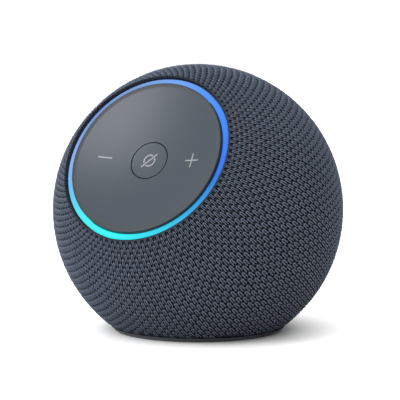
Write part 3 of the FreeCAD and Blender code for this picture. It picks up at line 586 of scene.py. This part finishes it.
def bored(piece, radius, middle, length):
    """Takes a round hole along Y out of a closed piece."""
    deselect()
    bpy.ops.mesh.primitive_cylinder_add(
        vertices=96, radius=radius, depth=length, location=middle, rotation=(math.pi / 2, 0, 0))
    drill = bpy.context.object
    modifier = piece.modifiers.new("hole", "BOOLEAN")
    modifier.object = drill
    modifier.solver = "EXACT"
    bpy.context.view_layer.objects.active = piece
    bpy.ops.object.modifier_apply(modifier=modifier.name)
    bpy.data.objects.remove(drill, do_unlink=True)


cut_below(ground, foot_seam)
bored(ground, bezel_radius, inlet_centre, 30 * mm)
smooth(ground, 50)
# Polyester ground yarn, dyed slate: matt with a soft sheen. The open meshes between the loops are painted
# near-black:
# the dark casing behind them, deepened by painted shade in the holes: one round mesh above each loop's head
# and a longer one on each side of it.
ground_knit, shader = new_material(
    "polyester_knit_ground", {"IOR": 1.5, "Roughness": 0.9, "Specular IOR Level": 0.05})
place = add_node(ground_knit, "UVMap", {"uv_map": "knit"})
cell = add_node(ground_knit, "SeparateXYZ", links={"Vector": place.outputs["UV"]})
# Each mesh: its place across and along the cell, and its half width and half length.
meshes = [(0.0, -0.27, 0.10, 0.11), (0.22, -0.13, 0.11, 0.20), (-0.22, -0.12, 0.105, 0.17)]
openness = None
for set_across, set_along in ((0.0, 0.0), (0.5, 0.5)):
    for across, along, half_width, half_length in meshes:
        spans = []
        sides = (("X", set_across + across, half_width), ("Y", set_along + along, half_length))
        for axis, shift, half in sides:
            moved = add_node(
                ground_knit, "Math", {"operation": "SUBTRACT", 1: shift}, {0: cell.outputs[axis]})
            inside = add_node(
                ground_knit, "Math", {"operation": "WRAP", 1: 0.5, 2: -0.5}, {0: moved.outputs[0]})
            spans.append(add_node(
                ground_knit, "Math", {"operation": "DIVIDE", 1: half}, {0: inside.outputs[0]}))
        reach = add_node(
            ground_knit, "CombineXYZ", links={"X": spans[0].outputs[0], "Y": spans[1].outputs[0]})
        far = add_node(ground_knit, "VectorMath", {"operation": "LENGTH"}, {0: reach.outputs[0]})
        if openness is None:
            openness = far.outputs["Value"]
        else:
            nearer = add_node(
                ground_knit, "Math", {"operation": "MINIMUM"}, {0: openness, 1: far.outputs["Value"]})
            openness = nearer.outputs[0]
closed = add_node(
    ground_knit, "MapRange", {"From Min": 0.75, "From Max": 1.25, "interpolation_type": "SMOOTHSTEP"},
    {"Value": openness})
fibre_place = add_node(ground_knit, "TexCoord")
fibre = add_node(
    ground_knit, "TexNoise", {"Scale": 1 / (0.25 * mm), "Detail": 3.0},
    {"Vector": fibre_place.outputs["Object"]})
yarn = add_node(
    ground_knit, "Mix", {"data_type": "RGBA", 6: linear("#22252C"), 7: linear("#2E323A")},
    {0: fibre.outputs["Fac"]})
# Painted shade: the meshes are mixed to near-black, darker than the casing behind them.
casing_and_shade = add_node(
    ground_knit, "Mix", {"data_type": "RGBA", 6: linear("#020203")},
    {0: closed.outputs["Result"], 7: yarn.outputs[2]})
height = add_node(ground_knit, "Math", {"operation": "MULTIPLY_ADD", 1: 0.15}, {
    0: fibre.outputs["Fac"], 2: closed.outputs["Result"]})
relief = add_node(ground_knit, "Bump", {"Distance": 0.2 * mm, "Strength": 0.8}, {"Height": height.outputs[0]})
links = ground_knit.node_tree.links
links.new(casing_and_shade.outputs[2], shader.inputs["Base Color"])
links.new(relief.outputs["Normal"], shader.inputs["Normal"])
fit(ground, ground_knit, "knit_fabric", "hub", "knit_cover")

# ---------------------------------------------------------------- knit loops
# The raised loops of the knit: each is a bend of textured yarn, its head towards the face and its two
# legs running away from it. One loop is modelled flat, then copied over the ball in staggered rows.
leg_spread = 0.138               # of a column's spacing, from the loop's middle to each leg
yarn_half = 0.058                # half the yarn's width, in the same measure
leg_length = 0.58                # of a row's pitch
crest = ground_sink
loop_root = 0.12 * mm            # depth of a loop's underside in the ground
wander_spread = 0.018            # how far a loop strays, as a share of the cell
lift_share, lift_spread = 0.92, 0.05
deselect()
bpy.ops.mesh.primitive_torus_add(
    major_segments=8, minor_segments=5, major_radius=leg_spread, minor_radius=yarn_half,
    rotation=(0, 0, math.pi / 8))
loop = bpy.context.object
bpy.ops.object.transform_apply(location=True, rotation=True, scale=True)
bpy.ops.object.mode_set(mode="EDIT")
bpy.ops.mesh.select_all(action="SELECT")
bpy.ops.mesh.bisect(plane_co=(0, 0, 0), plane_no=(0, 1, 0), clear_outer=True)
loop_mesh = bmesh.from_edit_mesh(loop.data)
for edge in loop_mesh.edges:
    edge.select = edge.is_boundary
bmesh.update_edit_mesh(loop.data)
for stretch in (0.45, 0.55):
    bpy.ops.mesh.extrude_region_move(TRANSFORM_OT_translate={"value": (0, leg_length * stretch, 0)})
bpy.ops.mesh.select_all(action="SELECT")
bpy.ops.mesh.fill_holes(sides=0)
bpy.ops.mesh.select_all(action="SELECT")
bpy.ops.mesh.normals_make_consistent(inside=False)
bpy.ops.object.mode_set(mode="OBJECT")
loop_points = np.array([vertex.co for vertex in loop.data.vertices])
loop_faces = [list(polygon.vertices) for polygon in loop.data.polygons]
bpy.data.objects.remove(loop, do_unlink=True)
head = loop_points[:, 1].min()
along_loop = (loop_points[:, 1] - head) / (loop_points[:, 1].max() - head)
# The loop rises in a bow, sinks at its two ends, and dips at the crown of its head.
near_middle = np.clip(1 - np.abs(loop_points[:, 0]) / leg_spread, 0, None)
crown_sink = np.clip(0.22 - along_loop, 0, None) * near_middle
tail_sink = np.clip(along_loop - 0.8, 0, None)
bow = 1 - 1.3 * (along_loop - 0.45) ** 2 - 0.9 * tail_sink - 3.0 * crown_sink
loop_rise = loop_points[:, 2] / yarn_half * 0.5 + 0.5


def loops_between(first_row, last_row, share):
    """Middles of the loops in a band of rows; share thins the columns where the sock is narrowed."""
    middles = []
    count = columns // share
    row = first_row
    while row < last_row:
        for index in range(count):
            middles.append(((index + 0.5 * (round(row * 2) % 2)) * share, row, share))
        row += 0.5
    return middles


def knit_loops(name, bands):
    """One piece of loops laid on the ball, without those that would meet the foot or the inlet."""
    points, faces = [], []
    spread = np.random.default_rng(7)
    for first_row, last_row, share in bands:
        for column, row, width in loops_between(first_row, last_row, share):
            wander = spread.normal(0, wander_spread, 2)
            away = knit_start + (row + wander[1] - head + loop_points[:, 1]) / rows_per_turn * math.tau
            turn = (column + (wander[0] + loop_points[:, 0]) * width) / columns * math.tau
            lift = crest * (lift_share + spread.normal(0, lift_spread)) * bow
            radius = ground_radius - loop_root + (lift + loop_root) * loop_rise
            flat = np.stack([np.sin(away) * np.cos(turn), np.sin(away) * np.sin(turn), np.cos(away)], axis=1)
            laid = flat * radius[:, None]
            middle = face_axes @ Vector(laid.mean(axis=0))
            beside = math.hypot(middle.x - inlet_centre.x, middle.z - inlet_centre.z)
            at_foot = middle.z < foot_seam + 0.5 * mm
            at_inlet = middle.y > 0 and beside < bezel_radius + 0.6 * mm
            if at_foot or at_inlet:
                continue
            faces += [[index + len(points) * len(loop_points) for index in face] for face in loop_faces]
            points.append(laid)
    mesh = bpy.data.meshes.new(name)
    mesh.from_pydata(np.concatenate(points).tolist(), [], faces)
    piece = bpy.data.objects.new(name, mesh)
    bpy.context.collection.objects.link(piece)
    knit_uv(piece)
    piece.data.transform(face_axes)
    smooth(piece, 80)
    return piece


def half_row(degrees):
    """The half row of the knit that is nearest to an angle from the face's axis."""
    return round(knit_row(math.radians(degrees)) * 2) / 2


# Towards the back pole the sock is narrowed twice: every second loop is dropped, then every second again.
last_row = half_row(144)
narrow_row = half_row(161)
end_row = half_row(171.5)
front_loops = knit_loops("knit_loops_front", [(0.0, 9.0, 1)])
middle_loops = knit_loops("knit_loops_middle", [(9.0, 18.0, 1)])
rear_loops = knit_loops("knit_loops_rear", [
    (18.0, last_row, 1), (last_row, narrow_row, 2), (narrow_row, end_row, 4)])
# Textured polyester yarn in slate grey: matt, slightly woolly, with a two-ply twist of about 0.5 mm.
loop_yarn, shader = new_material(
    "textured_polyester_yarn", {"IOR": 1.5, "Roughness": 0.85, "Specular IOR Level": 0.05})
place = add_node(loop_yarn, "TexCoord")
fibre = add_node(
    loop_yarn, "TexNoise", {"Scale": 1 / (0.2 * mm), "Detail": 4.0}, {"Vector": place.outputs["Object"]})
batch = add_node(
    loop_yarn, "TexNoise", {"Scale": 1 / (2.4 * mm), "Detail": 2.0}, {"Vector": place.outputs["Object"]})
tone = add_node(loop_yarn, "Math", {"operation": "MULTIPLY", 1: 0.6}, {0: fibre.outputs["Fac"]})
tone = add_node(
    loop_yarn, "Math", {"operation": "MULTIPLY_ADD", 1: 0.4}, {0: batch.outputs["Fac"], 2: tone.outputs[0]})
yarn = add_node(
    loop_yarn, "Mix", {"data_type": "RGBA", 6: linear("#3D434F"), 7: linear("#5E6573")},
    {0: tone.outputs[0]})
cell = add_node(loop_yarn, "UVMap", {"uv_map": "knit"})
ply = add_node(
    loop_yarn, "TexWave", {"bands_direction": "DIAGONAL", "Scale": 3.2, "Distortion": 0.6},
    {"Vector": cell.outputs["UV"]})
height = add_node(
    loop_yarn, "Math", {"operation": "MULTIPLY_ADD", 1: 0.5},
    {0: ply.outputs["Fac"], 2: fibre.outputs["Fac"]})
relief = add_node(loop_yarn, "Bump", {"Distance": 0.06 * mm, "Strength": 0.8}, {"Height": height.outputs[0]})
links = loop_yarn.node_tree.links
links.new(yarn.outputs[2], shader.inputs["Base Color"])
links.new(relief.outputs["Normal"], shader.inputs["Normal"])
for piece in (front_loops, middle_loops, rear_loops):
    fit(piece, loop_yarn, "knit_fabric", "hub", "knit_cover")

# ---------------------------------------------------------------- power inlet at the back
# Black ABS bezel that clamps the sock around the plug's recess, with the jack at its far end.
# The bezel's outer end follows the ball, and its mouth is broken by a small bevel.
jack_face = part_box("dc_jack")[1].y
bezel_wall = 1.2 * mm
bezel_length = 30 * mm           # longer than needed: the ball trims its outer end
plug_radius = bezel_radius - bezel_wall
bezel = turned("inlet_bezel_ring", [
    (plug_radius, 0.0), (plug_radius, bezel_length), (bezel_radius, bezel_length), (bezel_radius, 0.0)],
    steps=96)
bezel.data.transform(
    Matrix.Translation((inlet_centre.x, jack_face, inlet_centre.z)) @ Matrix.Rotation(-math.pi / 2, 4, "X"))
deselect()
bpy.ops.mesh.primitive_uv_sphere_add(segments=192, ring_count=128, radius=ball_radius, location=ball_centre)
trim = bpy.context.object
modifier = bezel.modifiers.new("flush_end", "BOOLEAN")
modifier.operation = "INTERSECT"
modifier.object = trim
bpy.context.view_layer.objects.active = bezel
bpy.ops.object.modifier_apply(modifier=modifier.name)
bpy.data.objects.remove(trim, do_unlink=True)
modifier = bezel.modifiers.new("broken_edges", "BEVEL")
modifier.width = 0.25 * mm
modifier.segments = 3
modifier.limit_method = "ANGLE"
modifier.angle_limit = math.radians(40)
bpy.ops.object.modifier_apply(modifier=modifier.name)
smooth(bezel, 40)
fit(bezel, moulded_abs, "shell_plastic", "hub", "inlet_bezel")
finish_nodes(moulded_abs, "dc_jack")
finish_nodes(tinned_sheet, "jack_pin")

# ---------------------------------------------------------------- rubber foot
# Moulded silicone-rubber base glued under the casing: its smooth dark lip shows below the knit and
# carries the ball's curve down to the table, and its underside has a shallow ring groove.
foot_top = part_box("rubber_foot")[1].z
foot_edge = 0.8 * mm
groove_inside, groove_outside, groove_depth = 24.0 * mm, 26.0 * mm, 0.35 * mm
groove_slope = 0.3 * mm
glue_edge = 1.6 * mm
seam_radius = math.sqrt(ball_radius ** 2 - (ball_centre.z - foot_seam) ** 2)


def lip_radius(height):
    return math.sqrt(ball_radius ** 2 - (ball_centre.z - height) ** 2)


lip_heights = [foot_edge + (foot_seam - foot_edge) * index / 4 for index in range(5)]
foot = turned("rubber_foot_pad", (
    [(pole_gap, 0.0), (groove_inside, 0.0), (groove_inside + groove_slope, groove_depth)]
    + [(groove_outside - groove_slope, groove_depth), (groove_outside, 0.0)]
    + arc(lip_radius(foot_edge) - foot_edge, foot_edge, foot_edge, -90, -8, 6)
    + [(lip_radius(height), height) for height in lip_heights]
    + [(seam_radius - glue_edge, foot_seam), (seam_radius - glue_edge, foot_top), (pole_gap, foot_top)]),
    steps=256, ring=False)
smooth(foot, 40)
# Silicone rubber, satin from the mould, slate like the knit but darker, with a slight bloom.
foot_rubber = grained(
    "satin_silicone_rubber", {"IOR": 1.43}, "#33373C", "#3D4247", 0.35 * mm, 0.003 * mm, 0.5)
fit(foot, foot_rubber, "foot_rubber", "hub", "rubber_foot")

# ---------------------------------------------------------------- table, lights and camera
# A white table top that meets a white surround, a softbox at the upper left of the view, and a broad
# light from above. The camera looks from the front, 30 degrees round to the right and a little above.
deselect()
bpy.ops.mesh.primitive_plane_add(size=80.0, location=(0, 0, cad_box[0][2]))
table = bpy.context.object
table.name = "table_top"
table_white, shader = new_material("white_table", {"Roughness": 0.6, "Base Color": linear("#E8E8E8")})
table.data.materials.append(table_white)

view_turn = math.radians(29.8)
view_rise = math.radians(5.23)
view_distance = 10.37 * ball_radius
toward = Vector((
    math.sin(view_turn) * math.cos(view_rise),
    -math.cos(view_turn) * math.cos(view_rise),
    math.sin(view_rise)))
view_right = Vector((math.cos(view_turn), math.sin(view_turn), 0))
view_up = toward.cross(view_right)
camera_data = bpy.data.cameras.new("studio_camera")
camera_data.lens = 135.27
camera_data.sensor_width = 36.0
camera_data.clip_start = 0.01
camera = bpy.data.objects.new("studio_camera", camera_data)
bpy.context.collection.objects.link(camera)
camera.location = ball_centre + toward * view_distance
aim = ball_centre + view_right * 0.72 * mm + view_up * 3.45 * mm
camera.rotation_euler = (aim - camera.location).to_track_quat("-Z", "Y").to_euler()
bpy.context.scene.camera = camera


def softbox(name, offset, size, power, colour):
    """A square area light at an offset from the ball, in right, up and forward of the view."""
    data = bpy.data.lights.new(name, "AREA")
    data.shape = "SQUARE"
    data.size = size
    data.energy = power
    data.color = linear(colour)[:3]
    light = bpy.data.objects.new(name, data)
    bpy.context.collection.objects.link(light)
    right, up, forward = offset
    light.location = ball_centre + view_right * right + Vector((0, 0, 1)) * up + toward * forward
    light.rotation_euler = (ball_centre - light.location).to_track_quat("-Z", "Y").to_euler()


softbox("front_softbox", (-0.36, 0.32, 0.33), 0.3, 2.15, "#FFFFFF")
sun_data = bpy.data.lights.new("window_light", "SUN")
sun_data.angle = math.radians(110)
sun_data.energy = 4.7
window_light = bpy.data.objects.new("window_light", sun_data)
bpy.context.collection.objects.link(window_light)
window_light.visible_glossy = False
from_window = view_right * -0.06 + Vector((0, 0, 0.95))
window_light.rotation_euler = from_window.to_track_quat("Z", "Y").to_euler()
# The surround is white, brighter on the left and darker on the right of the view.
surround = bpy.data.worlds.new("white_surround")
surround.use_nodes = True
direction = add_node(surround, "TexCoord")
rightwards = add_node(
    surround, "VectorMath", {"operation": "DOT_PRODUCT", 1: view_right},
    {0: direction.outputs["Generated"]})
right_side = add_node(
    surround, "MapRange", {"From Min": 0.15, "From Max": 0.75, "To Min": 1.03, "To Max": 0.15},
    {"Value": rightwards.outputs["Value"]})
left_side = add_node(
    surround, "MapRange", {"From Min": -0.75, "From Max": -0.15, "To Min": 0.5, "To Max": 0.0},
    {"Value": rightwards.outputs["Value"]})
brightness = add_node(
    surround, "Math", {"operation": "ADD"}, {0: right_side.outputs["Result"], 1: left_side.outputs["Result"]})
background = surround.node_tree.nodes["Background"]
background.inputs["Color"].default_value = (1, 1, 1, 1)
surround.node_tree.links.new(brightness.outputs[0], background.inputs["Strength"])
bpy.context.scene.world = surround
bpy.context.scene.view_settings.view_transform = "Standard"
